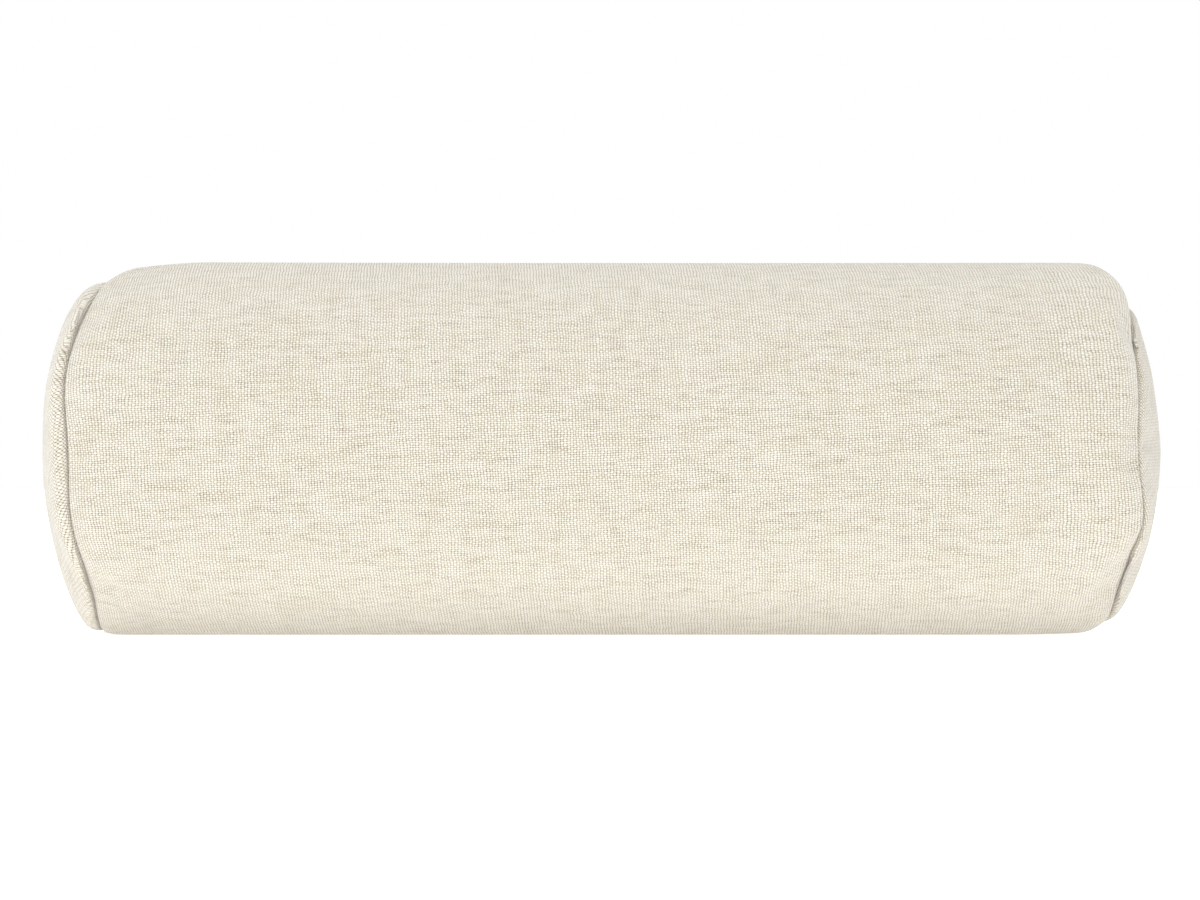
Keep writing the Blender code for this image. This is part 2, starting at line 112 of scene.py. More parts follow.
@dataclass
class SewnBag:
    """A tube of cloth with a round end sewn into each of its ends.

    Each end, -1 or 1, has its own sizes. seam_waves are how its seam wanders, as (waves in
    a turn, size, turned by degrees). seam_lift is how much further out it lies on top.
    roundness says how the dome leaves the seam at the top and at the bottom: 1 bulges
    right from the seam, and 0 is a shallow cap.
    """

    radius: float
    shoulder_x: float  # the tube keeps its full radius up to here
    even_x: float  # the rings are square to the tube up to here
    seam_x: dict
    seam_radius: dict
    seam_lift: dict
    seam_waves: dict
    dome_rise: dict
    roundness: dict
    angles: np.ndarray  # of the threads along the tube, from the middle of its back
    stations: np.ndarray  # of the rings, along the tube

    def seam_x_at(self, side, angle):
        waves = [
            size * np.sin(count * angle + math.radians(turn))
            for count, size, turn in self.seam_waves[side]
        ]
        return self.seam_x[side] + sum(waves)

    def seam_radius_at(self, side, angle):
        return self.seam_radius[side] + self.seam_lift[side] * np.sin(angle)

    def ring(self, station):
        """One ring of the tube, round its axis: the cloth narrows to the seam."""
        side = -1 if station < 0 else 1
        seam_x = self.seam_x_at(side, self.angles)
        last = self.stations[-1]
        reach = max(0.0, (abs(station) - self.even_x) / (last - self.even_x))
        x = abs(station) + reach * (seam_x - last)
        share = np.clip((x - self.shoulder_x) / (seam_x - self.shoulder_x), 0, 1)
        full = (1 - share**9) ** 0.75
        tapered = 1 - share**1.6
        fullness = 0.5 + 0.5 * side * np.sin(self.angles)
        width = fullness * full + (1 - fullness) * tapered
        rim = self.seam_radius_at(side, self.angles)
        radius = rim + (self.radius - rim) * width
        across, up = radius * np.cos(self.angles), radius * np.sin(self.angles)
        return np.stack([side * x, across, up], axis=1)

    def end_point(self, side, across, up):
        """A point of a round end, from its place in the unit disc."""
        out = math.hypot(across, up)
        even = np.linspace(0, math.tau, len(self.angles) + 1)
        angle = np.interp(math.atan2(up, across) % math.tau, even, [*self.angles, math.tau])
        top, bottom = self.roundness[side]
        roundness = bottom + (top - bottom) * (0.5 + 0.5 * up / max(out, 1e-9))
        round_dome, cap = math.sqrt(max(0.0, 1 - out**2)), 1 - out**2
        dome = roundness * round_dome + (1 - roundness) * cap
        wander = (self.seam_x_at(side, angle) - self.seam_x[side]) * out**4
        x = self.seam_x[side] + wander + self.dome_rise[side] * dome
        radius = self.seam_radius_at(side, angle) * out
        return side * x, radius * math.cos(angle), radius * math.sin(angle)

    def sew(self):
        """Lays out the cloth as one closed mesh: rings of quads, and a grid at each end."""
        around, rows = len(self.angles), len(self.stations)
        points = [tuple(point) for station in self.stations for point in self.ring(station)]
        faces = []
        for row in range(rows - 1):
            for column in range(around):
                here, following = row * around + column, row * around + (column + 1) % around
                faces.append((here, following, following + around, here + around))
        steps = around // 4
        turns = [math.radians(90 * n / steps - 45) for n in range(steps + 1)]
        grid = [math.sqrt(2) * math.sin(turn) for turn in turns]
        self.end_grid = {}  # for each end, the vertex at each place of its square grid
        self.end_flat = {}  # the place of each of an end's vertices in the unit disc
        for side in (-1, 1):
            square = np.zeros((steps + 1, steps + 1), int)
            for m, u in enumerate(grid):
                for n, v in enumerate(grid):
                    across = u * math.sqrt(max(0.0, 1 - v * v / 2))
                    up = v * math.sqrt(max(0.0, 1 - u * u / 2))
                    if m in (0, steps) or n in (0, steps):
                        column = round(math.atan2(up, across) / math.tau * around) % around
                        square[m, n] = (0 if side < 0 else rows - 1) * around + column
                    else:
                        square[m, n] = len(points)
                        points.append(self.end_point(side, across, up))
                    self.end_flat[side, square[m, n]] = (across, up)
            self.end_grid[side] = square
            for m in range(steps):
                for n in range(steps):
                    face = square[m, n], square[m + 1, n], square[m + 1, n + 1], square[m, n + 1]
                    faces.append([int(c) for c in (face if side > 0 else face[::-1])])
        self.place = np.array(points) + (0, 0, AXIS_HEIGHT)
        self.mesh = bpy.data.meshes.new("sewn_bag")
        self.mesh.from_pydata([tuple(point) for point in self.place], [], faces)

    def keep(self, place):
        """Takes the cloth's settled place, and works out its normals."""
        self.place = place
        self.mesh.vertices.foreach_set("co", place.ravel())
        self.mesh.update()
        normals = np.zeros(len(place) * 3)
        self.mesh.vertex_normals.foreach_get("vector", normals)
        self.normals = normals.reshape(-1, 3)
        self.tube = place[: len(self.stations) * len(self.angles)]
        self.tube = self.tube.reshape(len(self.stations), len(self.angles), 3).copy()


SLOT_END_X = 0.233
SLOT_EDGE_W = 0.0072  # half the slot in the barrel's back, at the bend of its hems
SEAM_HALF_W = 0.0012  # half the groove of the barrel's closed seam beyond the slot
GROOVE_DEPTH = 0.0018
STRAIGHT_X = 0.19  # the tube's rings lie wide apart up to here
SEAM_X = 0.2752  # the last ring's station, before the seam's wander
AROUND = 160  # threads along the tube

slot_angle = math.asin(SLOT_EDGE_W / RADIUS)
groove_angle = math.asin(SEAM_HALF_W / RADIUS)
angles = np.linspace(slot_angle, math.tau - slot_angle, AROUND - 3)
angles = np.concatenate([[0, groove_angle], angles, [math.tau - groove_angle]])
half = [*np.linspace(STRAIGHT_X, SLOT_END_X, 8, endpoint=False)]
half += [*np.linspace(SLOT_END_X, SEAM_X, 16)]
middle = np.linspace(-STRAIGHT_X, STRAIGHT_X, 50, endpoint=False)
stations = np.array([*[-x for x in half[::-1]], *middle[1:], *half])

cover = SewnBag(
    radius=RADIUS - 0.0012,  # a little slack, which the filling takes up
    shoulder_x=0.215,
    even_x=SLOT_END_X,
    seam_x={-1: 0.273, 1: 0.277},
    seam_radius={-1: 0.0993, 1: 0.0915},
    seam_lift={-1: -0.0028, 1: -0.0070},
    seam_waves={
        -1: (
            (1, 0.0015, -40),
            (2, 0.002, 85),
            (3, 0.003, -40),
            (5, 0.001, 130),
            (8, 0.001, -90),
        ),
        1: (
            (1, 0.0068, -36),
            (2, 0.0005, 90),
            (3, 0.0012, 180),
            (5, 0.001, 150),
            (8, 0.0012, -95),
        ),
    },
    dome_rise={-1: 0.0268, 1: 0.0210},
    roundness={-1: (0.8, 0.6), 1: (0.0, 0.15)},
    angles=angles,
    stations=stations,
)
cover.sew()

GATHERED_REACH = 0.007  # the thread gathers the cloth this far from a seam
HELD_PAST_SLOT = 0.004  # the zip holds the cloth this far past the slot's ends
SETTLING_FRAMES = 20
MOST_MOVED = 0.008

bag = bpy.data.objects.new("sewn_bag", cover.mesh)
bpy.context.scene.collection.objects.link(bag)
gathered = bag.vertex_groups.new(name="gathered_by_thread")
held = bag.vertex_groups.new(name="held_by_zip")
for row, station in enumerate(stations):
    pull = 1 - (SEAM_X - abs(station)) / GATHERED_REACH
    if pull > 0:
        gathered.add(list(range(row * AROUND, (row + 1) * AROUND)), pull, "REPLACE")
    if abs(station) < SLOT_END_X + HELD_PAST_SLOT:
        strip = [row * AROUND + column % AROUND for column in range(-4, 5)]
        held.add(strip, 1.0, "REPLACE")
cloth = bag.modifiers.new("cloth", "CLOTH")
cloth.settings.quality = 5
cloth.settings.mass = 0.3
cloth.settings.use_pressure = True
cloth.settings.uniform_pressure_force = 4
cloth.settings.bending_stiffness = 3
cloth.settings.vertex_group_shrink = gathered.name
cloth.settings.shrink_min = 0
cloth.settings.shrink_max = 0.035
cloth.settings.vertex_group_mass = held.name
cloth.settings.effector_weights.gravity = 0
cloth.collision_settings.use_collision = False
cloth.point_cache.frame_end = SETTLING_FRAMES
for moment in range(1, SETTLING_FRAMES + 1):
    bpy.context.scene.frame_set(moment)

filled = bag.evaluated_get(bpy.context.evaluated_depsgraph_get()).to_mesh()
filled_place = np.zeros(len(cover.place) * 3)
filled.vertices.foreach_get("co", filled_place)
moved = filled_place.reshape(-1, 3) - cover.place
length = np.linalg.norm(moved, axis=1, keepdims=True)
filled_place = cover.place + moved * np.minimum(1, MOST_MOVED / np.maximum(length, 1e-9))


FLOOR_EASING = 0.0012  # rounds the cloth's edge where it leaves the floor
FLAT_W, ROUND_W = 0.016, 0.030  # the back is flat this far from the zip's line, then round
FLAT_X, ROUND_X = 0.238, 0.262  # and this far along the zip


def settle(place, floor_z, back_y):
    """Rests a bag on the floor, and flattens it where the zip's tapes keep its back flat."""
    above = place[:, 2] - floor_z
    place[:, 2] = floor_z + (above + np.sqrt(above**2 + FLOOR_EASING**2)) / 2
    across, along = np.abs(place[:, 2] - AXIS_HEIGHT), np.abs(place[:, 0])
    near_zip = np.clip((ROUND_W - across) / (ROUND_W - FLAT_W), 0, 1)
    near_zip *= np.clip((ROUND_X - along) / (ROUND_X - FLAT_X), 0, 1) * (place[:, 1] > 0)
    near_zip = near_zip**2 * (3 - 2 * near_zip)
    place[:, 1] += near_zip * (back_y - place[:, 1])
    return place


cover.keep(settle(filled_place, 0.0, BACK_Y))
bpy.data.objects.remove(bag)
beyond_slot = [row for row, x in enumerate(stations) if SLOT_END_X + 0.001 < abs(x) < SEAM_X]
cover.tube[beyond_slot, 0, 1] -= GROOVE_DEPTH

# For each ring of the cloth that turns in at an end seam: how far it lies from the seam to
# its own side, how far under it, how far it runs inward, and the cloth used up to there.
TURNED_IN = (
    (0.0013, 0.0001, 0.0, 0.0013),
    (0.0005, 0.0014, 0.0, 0.0029),
    (0.0002, 0.0030, 0.0, 0.0046),
    (0.0001, 0.0028, 0.0035, 0.0079),
    (0.0001, 0.0028, 0.0080, 0.0124),
)


def turned_in(bag, side, toward_end):
    """The rings of cloth that turn in at an end seam, from the tube or from its round end.

    Both cloths bend down beside the seam's line, then lie flat against each other inside.
    """
    row, neighbour = (0, 1) if side < 0 else (-1, -2)
    seam = bag.tube[row]
    around = len(bag.angles)
    along = np.roll(seam, -1, axis=0) - np.roll(seam, 1, axis=0)
    along /= np.linalg.norm(along, axis=1, keepdims=True)
    first = (row % len(bag.stations)) * around
    out = bag.normals[first : first + around]
    own_side = np.cross(along, out)
    if (np.sum(own_side * (bag.tube[neighbour] - seam)) > 0) == toward_end:
        own_side = -own_side
    inward = np.array([-side * 0.93, 0.0, 0.0]) - out * 0.36
    return [
        seam + own_side * apart - out * under + inward * run
        for apart, under, run, _ in TURNED_IN
    ]


# Linen-look cloth. Thick and thin yarns, each with its own run of cream, white and tan,
# are woven one over one. The yarns round the bolster are further apart than those along it.


class NodeBuilder:
    """Adds nodes to a material one by one, and hands back their outputs."""

    def __init__(self, material):
        material.use_nodes = True
        self.tree = material.node_tree
        self.shader = self.tree.nodes["Principled BSDF"]

    def add(self, kind, **settings):
        node = self.tree.nodes.new(kind)
        for key, setting in settings.items():
            setattr(node, key, setting)
        return node

    def feed(self, socket, source):
        if isinstance(source, tuple) and len(source) == 3 and socket.type == "RGBA":
            source = (*source, 1)
        if isinstance(source, (int, float, tuple)):
            socket.default_value = source
        else:
            self.tree.links.new(source, socket)

    def math(self, operation, *sources):
        node = self.add("ShaderNodeMath", operation=operation)
        for socket, source in zip(node.inputs, sources):
            self.feed(socket, source)
        return node.outputs[0]

    def clouds(self, place, size, detail):
        """Soft noise at a place, which is a vector output or three values."""
        cloud = self.add("ShaderNodeTexNoise")
        cloud.inputs["Scale"].default_value = size
        cloud.inputs["Detail"].default_value = detail
        if isinstance(place, tuple):
            spot = self.add("ShaderNodeCombineXYZ")
            for socket, source in zip(spot.inputs, place):
                self.feed(socket, source)
            place = spot.outputs[0]
        self.feed(cloud.inputs["Vector"], place)
        return cloud.outputs["Fac"]

    def blend(self, share, pale, deep):
        node = self.add("ShaderNodeMix", data_type="RGBA")
        self.feed(node.inputs[0], share)
        self.feed(node.inputs[6], pale)
        self.feed(node.inputs[7], deep)
        return node.outputs[2]

    def stretch(self, source, low, high, to_low=0.0, to_high=1.0):
        node = self.add("ShaderNodeMapRange")
        for socket, value in zip(node.inputs, (source, low, high, to_low, to_high)):
            self.feed(socket, value)
        return node.outputs[0]

    def bump(self, height, relief, strength):
        node = self.add("ShaderNodeBump")
        node.inputs["Strength"].default_value = strength
        node.inputs["Distance"].default_value = relief
        self.feed(node.inputs["Height"], height)
        self.feed(self.shader.inputs["Normal"], node.outputs[0])


# How often a yarn's shade and the width of the painted shade in its gaps change in a metre,
# and how far apart in the noise two neighbouring yarns lie.
SHADE_RUNS, SHADE_STEP = 45.0, 3.7
SLACK_RUNS, SLACK_STEP = 90.0, 5.3


def plain_weave(name, pitch, yarns, gap_painted_shade, relief, wander, sheen, slack=0.0):
    """A material of yarns woven one over one, on the piece's weave map, in metres.

    pitch is the spacing of the yarns along U and along V, and yarns the palest and the
    deepest colour of the yarns that cross U, and of those that cross V. The gaps' colour is
    painted shade, blended in between the yarns and down their sides below their crests.
    wander is how far a yarn strays, in yarns, and slack how far the painted shade in its
    gaps spreads in places.
    """
    made = bpy.data.materials.new(name)
    nodes = NodeBuilder(made)
    nodes.shader.inputs["Roughness"].default_value = 0.88
    nodes.shader.inputs["Specular IOR Level"].default_value = 0.25
    nodes.shader.inputs["Sheen Weight"].default_value = sheen
    nodes.shader.inputs["Sheen Roughness"].default_value = 0.5
    weave_map = nodes.add("ShaderNodeUVMap", uv_map="weave")
    split = nodes.add("ShaderNodeSeparateXYZ")
    nodes.feed(split.inputs[0], weave_map.outputs[0])
    u, v = split.outputs["X"], split.outputs["Y"]

    def strays(layer):
        cloud = nodes.clouds((u, v, layer), 130, 3)
        return nodes.math("MULTIPLY", nodes.math("SUBTRACT", cloud, 0.5), wander)

    count_u = nodes.math("ADD", nodes.math("DIVIDE", u, pitch[0]), strays(0.0))
    count_v = nodes.math("ADD", nodes.math("DIVIDE", v, pitch[1]), strays(9.0))
    yarn_u, yarn_v = nodes.math("FLOOR", count_u), nodes.math("FLOOR", count_v)

    def across(count):
        """Height across a yarn: 1 along its middle, and 0 at its edges."""
        return nodes.math("SINE", nodes.math("MULTIPLY", nodes.math("FRACT", count), math.pi))

    round_u, round_v = across(count_u), across(count_v)
    body_u, body_v = (nodes.math("POWER", shape, 0.6) for shape in (round_u, round_v))
    parity = nodes.math("FLOORED_MODULO", nodes.math("ADD", yarn_u, yarn_v), 2.0)
    over = nodes.math("SUBTRACT", 1.0, nodes.math("MULTIPLY", parity, 2.0))
    lift_u = nodes.math("MULTIPLY", nodes.math("MULTIPLY", round_v, over), 0.45)
    lift_v = nodes.math("MULTIPLY", nodes.math("MULTIPLY", round_u, over), -0.45)
    height_u = nodes.math("ADD", nodes.math("MULTIPLY", body_u, 0.55), lift_u)
    height_v = nodes.math("ADD", nodes.math("MULTIPLY", body_v, 0.55), lift_v)
    height = nodes.math("MAXIMUM", height_u, height_v)
    top_is_v = nodes.stretch(nodes.math("SUBTRACT", height_v, height_u), -0.08, 0.08)

    along_u, along_v = (nodes.math("MULTIPLY", place, SHADE_RUNS) for place in (u, v))
    step_u, step_v = (nodes.math("MULTIPLY", yarn, SHADE_STEP) for yarn in (yarn_u, yarn_v))
    stretched_u, stretched_v = (along_u, step_v, 7.0), (step_u, along_v, 2.0)
    patch = nodes.math("MULTIPLY", nodes.clouds((u, v, 4.0), 55, 2), 0.2)
    deep_u = nodes.math("ADD", nodes.clouds(stretched_v, 1, 2), patch)
    deep_v = nodes.math("ADD", nodes.clouds(stretched_u, 1, 2), patch)
    shade_u = nodes.blend(nodes.stretch(deep_u, 0.50, 0.86), yarns[0], yarns[1])
    shade_v = nodes.blend(nodes.stretch(deep_v, 0.46, 0.82), yarns[2], yarns[3])
    yarn_shade = nodes.blend(top_is_v, shade_u, shade_v)
    # Painted shade: the colour darkens from each yarn's crest down its sides to the gaps' colour,
    # and in runs along the gaps the darkening spreads further.
    slack_step = nodes.math("MULTIPLY", yarn_v, SLACK_STEP)
    run = nodes.math("MULTIPLY", u, SLACK_RUNS), slack_step, 11.0
    painted_shade_spread = nodes.stretch(nodes.clouds(run, 1, 2), 0.45, 0.80, 0.0, slack)
    painted_shade_share = nodes.stretch(nodes.math("SUBTRACT", height, painted_shade_spread), 0.74, 0.22)
    colour = nodes.blend(painted_shade_share, yarn_shade, gap_painted_shade)
    nodes.feed(nodes.shader.inputs["Base Color"], colour)
    nodes.bump(height, relief, 0.9)
    return made


linen = plain_weave(
    "linen_look_cloth",
    pitch=(0.00155, 0.00116),
    yarns=((0.755, 0.727, 0.665), (0.695, 0.645, 0.54), (0.67, 0.634, 0.555), (0.57, 0.51, 0.39)),
    # The colour between the yarns is painted shade.
    gap_painted_shade=(0.18, 0.145, 0.09),
    relief=0.0006,
    wander=1.5,
    sheen=0.45,
    slack=0.22,
)


def apply_modifiers(rough):
    """The object's modified mesh as a plain object of its own, at the origin."""
    evaluated = rough.evaluated_get(bpy.context.evaluated_depsgraph_get())
    finished = bpy.data.meshes.new_from_object(evaluated)
    name = rough.name
    bpy.data.objects.remove(rough)
    finished.name = name
    piece = bpy.data.objects.new(name, finished)
    bpy.context.scene.collection.objects.link(piece)
    return piece


def add_cloth_piece(name, vertices, quads, weave, thickness, material, smoothing=1):
    """Cloth sewn from quads: smoothed, then given its thickness on the inside."""
    mesh = bpy.data.meshes.new(name)
    mesh.from_pydata([tuple(vertex) for vertex in vertices], [], quads)
    layer = mesh.uv_layers.new(name="weave")
    layer.uv.foreach_set("vector", np.array(weave, np.float32).ravel())
    mesh.shade_smooth()
    mesh.materials.append(material)
    rough = bpy.data.objects.new(name, mesh)
    bpy.context.scene.collection.objects.link(rough)
    smoother = rough.modifiers.new("smoother", "SUBSURF")
    smoother.levels = smoothing
    smoother.render_levels = smoothing
    wall = rough.modifiers.new("wall", "SOLIDIFY")
    wall.thickness = thickness
    wall.offset = -1
    return apply_modifiers(rough)


def finish_piece(piece, body, node):
    """Hangs a piece under the body it moves with, and hides the CAD node that it stands for."""
    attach(piece, body)
    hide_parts(node)


# Barrel. One rectangle of the cloth, cut nearly on the grain and joined along the back,
# where the zip is. Its ends turn in at the seams, and the slot's edges are hemmed under.

GRAIN_TURN = math.radians(2.4)
CLOTH = 0.0009
# The hem: how far each of its rings lies outside the slot's edge, its height over the
# cloth's face, and the cloth used up to there.
HEM = (
    (-0.0007, -0.0003, 0.0008),
    (-0.0010, -0.0010, 0.0016),
    (-0.0007, -0.0017, 0.0024),
    (0.0, -0.0020, 0.0032),
    (0.0070, -0.0020, 0.0102),
)


def on_grain(u, v, turn):
    """A place on the flat cloth, from its place on a piece cut at an angle to the grain."""
    return u * math.cos(turn) - v * math.sin(turn), u * math.sin(turn) + v * math.cos(turn)


def tube_cloth(bag):
    """The rings of a bag's tube with its turned-in ends, and their places on the flat cloth."""
    rings = [*turned_in(bag, -1, False)[::-1], *bag.tube[1:-1], *turned_in(bag, 1, False)]
    beyond = [bag.stations[-1] + used - TURNED_IN[1][3] for *_, used in TURNED_IN]
    run = [-x for x in beyond[::-1]] + list(bag.stations[1:-1]) + beyond
    arc = [bag.radius * angle for angle in [*bag.angles, math.tau]]
    return rings, run, arc


def tube_quads(rings, run, arc, turn, skip=lambda row, column: False):
    """The quads between a tube's rings, and their corners on the flat cloth."""
    around = len(arc) - 1
    quads, weave = [], []
    for row in range(len(rings) - 1):
        for column in range(around):
            if skip(row, column):
                continue
            corners = (row, column), (row, column + 1), (row + 1, column + 1), (row + 1, column)
            quads.append([r * around + c % around for r, c in corners])
            weave.extend(on_grain(run[r], arc[c], turn) for r, c in corners)
    return quads, weave


rings, run, arc = tube_cloth(cover)
first = min(row for row, x in enumerate(run) if x > -SLOT_END_X - 1e-6)
last = max(row for row, x in enumerate(run) if x < SLOT_END_X + 1e-6)


def in_slot(row, column):
    return first <= row < last and (column < 2 or column >= AROUND - 2)


vertices = [point for ring in rings for point in ring]
quads, weave = tube_quads(rings, run, arc, GRAIN_TURN, in_slot)

# Round the slot: each corner's row and column, and which way is out of the slot there.
border = [(row, 2, 0, 1) for row in range(first + 1, last)]
border += [(last, 2, 1, 1), (last, 1, 1, 0), (last, 0, 1, 0), (last, -1, 1, 0), (last, -2, 1, -1)]
border += [(row, -2, 0, -1) for row in range(last - 1, first, -1)]
border += [(first, -2, -1, -1), (first, -1, -1, 0), (first, 0, -1, 0), (first, 1, -1, 0)]
border += [(first, 2, -1, 1)]
flat_border = [
    (run[row], arc[column] if column >= 0 else arc[column - 1] - arc[-1])
    for row, column, *_ in border
]
hem = [([row * AROUND + column % AROUND for row, column, *_ in border], flat_border)]
for outwards, height, used in HEM:
    ring, flat = [], []
    for (row, column, out_x, out_w), (u, v) in zip(border, flat_border):
        x, _, z = rings[row][column % AROUND]
        ring.append(len(vertices))
        vertices.append((x + out_x * outwards, BACK_Y + height, z + out_w * outwards))
        flat.append((u - out_x * used, v - out_w * used))
    hem.append((ring, flat))
for (ring, flat), (next_ring, next_flat) in zip(hem, hem[1:]):
    for n in range(len(border)):
        m = (n + 1) % len(border)
        quads.append([ring[n], ring[m], next_ring[m], next_ring[n]])
        corners = flat[n], flat[m], next_flat[m], next_flat[n]
        weave.extend(on_grain(u, v, GRAIN_TURN) for u, v in corners)

barrel = add_cloth_piece("barrel_cloth", vertices, quads, weave, CLOTH, linen)
finish_piece(barrel, "bolster", "cover_barrel")

# Round ends. Each is a circle of the same cloth, set in by hand, so that its grain lies at
# an angle. The filling domes it, and its edge turns in beside the barrel's.

END_CUT_RADIUS = 0.102
END_GRAIN = {-1: math.radians(52), 1: math.radians(-38)}


def add_round_end(bag, side, name, cut_radius, turn, thickness, material):
    """A round of cloth over a bag's end, with its turned-in edge."""
    square, around = bag.end_grid[side], len(bag.angles)
    steps = len(square) - 1
    edge = {int(index) for index in (*square[0], *square[-1], *square[:, 0], *square[:, -1])}
    inside = [int(index) for index in np.unique(square) if int(index) not in edge]
    number = {index: n for n, index in enumerate(inside)}
    vertices = [bag.place[index] for index in inside]
    flat = [np.array(bag.end_flat[side, index]) * cut_radius for index in inside]
    seam_start = 0 if side < 0 else (len(bag.stations) - 1) * around
    number.update({seam_start + column: len(inside) + column for column in range(around)})
    for ring, (*_, used) in zip(turned_in(bag, side, True), TURNED_IN):
        vertices.extend(ring)
        reach = cut_radius + used - TURNED_IN[1][3]
        flat.extend(np.array((math.cos(a), math.sin(a))) * reach for a in bag.angles)
    quads = []
    for m in range(steps):
        for n in range(steps):
            corners = square[m, n], square[m + 1, n], square[m + 1, n + 1], square[m, n + 1]
            quads.append([number[int(corner)] for corner in corners])
    for ring in range(len(TURNED_IN) - 1):
        base = len(inside) + ring * around
        for here in range(around):
            following = (here + 1) % around
            corners = here, here + around, following + around, following
            quads.append([base + corner for corner in corners])
    if side < 0:
        quads = [quad[::-1] for quad in quads]
    weave = [on_grain(*flat[corner], turn) for quad in quads for corner in quad]
    return add_cloth_piece(name, vertices, quads, weave, thickness, material)


for side, side_name in ((-1, "left"), (1, "right")):
    end = add_round_end(
        cover, side, f"end_cloth_{side_name}", END_CUT_RADIUS, END_GRAIN[side], CLOTH, linen
    )
    finish_piece(end, "bolster", f"cover_end_{side_name}")

# Zip tapes. Two tapes of ribbed polyester lie behind the slot's hems. Each has a thicker
# edge, which the coil is sewn to.

tape_cloth = plain_weave(
    "ribbed_zip_tape",
    pitch=(0.00055, 0.0009),
    yarns=((0.86, 0.80, 0.68), (0.80, 0.73, 0.60), (0.84, 0.78, 0.66), (0.78, 0.71, 0.58)),
    # The colour between the yarns is painted shade.
    gap_painted_shade=(0.42, 0.36, 0.27),
    relief=0.00012,
    wander=0.1,
    sheen=0.1,
)
TAPE_SECTION = (
    (0.0, -0.00030),
    (0.0002, 0.00015),
    (0.0020, 0.00015),
    (0.0025, 0.0),
    (0.0134, 0.0),
    (0.0138, -0.0002),
    (0.0138, -0.0004),
    (0.0134, -0.0006),
    (0.0002, -0.0006),
)
for side, side_name in ((1, "upper"), (-1, "lower")):
    low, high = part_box(f"zip_tape_{side_name}")
    inner = min(abs(low.z - AXIS_HEIGHT), abs(high.z - AXIS_HEIGHT)) - 0.0003
    vertices, weave, quads = [], [], []
    steps, corners = 122, len(TAPE_SECTION)
    for step in range(steps + 1):
        x = low.x + (high.x - low.x) * step / steps
        sway = 0.00006 * math.sin(70 * x + side) + 0.00004 * math.sin(190 * x)
        for w, h in TAPE_SECTION:
            out = w / TAPE_SECTION[-2][0]
            vertices.append((x, high.y + h + sway * out, AXIS_HEIGHT + side * (inner + w)))
    for step in range(steps):
        for n in range(corners):
            m = (n + 1) % corners
            quads.append([step * corners + i for i in (n, m, m + corners, n + corners)])
    quads.append([*range(corners)][::-1])
    quads.append([*range(steps * corners, (steps + 1) * corners)])
    if side < 0:
        quads = [quad[::-1] for quad in quads]
    tape_mesh = bpy.data.meshes.new(f"ribbed_tape_{side_name}")
    tape_mesh.from_pydata(vertices, [], quads)
    layer = tape_mesh.uv_layers.new(name="weave")
    for loop in tape_mesh.loops:
        x, y, z = vertices[loop.vertex_index]
        layer.uv[loop.index].vector = (x, z + y)
    tape_mesh.materials.append(tape_cloth)
    tape = bpy.data.objects.new(f"ribbed_tape_{side_name}", tape_mesh)
    bpy.context.scene.collection.objects.link(tape)
    finish_piece(tape, "bolster", f"zip_tape_{side_name}")

# Zip coil. Each row is one nylon filament wound into a flat coil and sewn to its tape with
# two lines of thread. The rows mesh, head between heads, and part inside the slider.


def moulded(name, colour, roughness, grain_size, relief, metallic=0.0):
    """A smooth material with a fine grain in its shade, its gloss and its surface."""
    made = bpy.data.materials.new(name)
    nodes = NodeBuilder(made)
    nodes.shader.inputs["Metallic"].default_value = metallic
    place = nodes.add("ShaderNodeTexCoord").outputs["Object"]
    grain = nodes.clouds(place, grain_size, 4)
    shade = tuple(value * 0.82 for value in colour)
    nodes.feed(
        nodes.shader.inputs["Base Color"],
        nodes.blend(nodes.stretch(grain, 0.35, 0.75), colour, shade),
    )
    gloss = nodes.stretch(grain, 0.3, 0.7, roughness * 0.8, roughness * 1.2)
    nodes.feed(nodes.shader.inputs["Roughness"], gloss)
    nodes.bump(grain, relief, 0.4)
    return made


nylon = moulded("cream_nylon", (0.84, 0.79, 0.68), 0.34, 900, 0.00004)
thread = moulded("sewing_thread", (0.86, 0.81, 0.71), 0.75, 6000, 0.00010)
WIND_STEPS = 8  # points on each turn of a wound thread


def new_tree(name, sockets):
    """A Geometry Nodes tree, its inputs by name, and a function that adds a node to it."""
    tree = bpy.data.node_groups.new(name, "GeometryNodeTree")
    tree.interface.new_socket("Geometry", in_out="OUTPUT", socket_type="NodeSocketGeometry")
    for socket, kind in sockets:
        tree.interface.new_socket(socket, in_out="INPUT", socket_type=f"NodeSocket{kind}")

    def add(kind, inputs=(), **settings):
        node = tree.nodes.new(kind)
        for key, setting in settings.items():
            setattr(node, key, setting)
        for key, source in dict(inputs).items():
            if isinstance(source, bpy.types.NodeSocket):
                tree.links.new(source, node.inputs[key])
            else:
                node.inputs[key].default_value = source
        return node.outputs[0]

    return tree, tree.nodes.new("NodeGroupInput").outputs, add


def end_tree(tree, add, shape, material):
    """Ends a Geometry Nodes tree with its shape as one real mesh in its material."""
    solid = add("GeometryNodeRealizeInstances", {"Geometry": shape})
    dressed = add("GeometryNodeSetMaterial", {"Geometry": solid, "Material": material})
    tree.links.new(dressed, tree.nodes.new("NodeGroupOutput").inputs[0])
    return tree


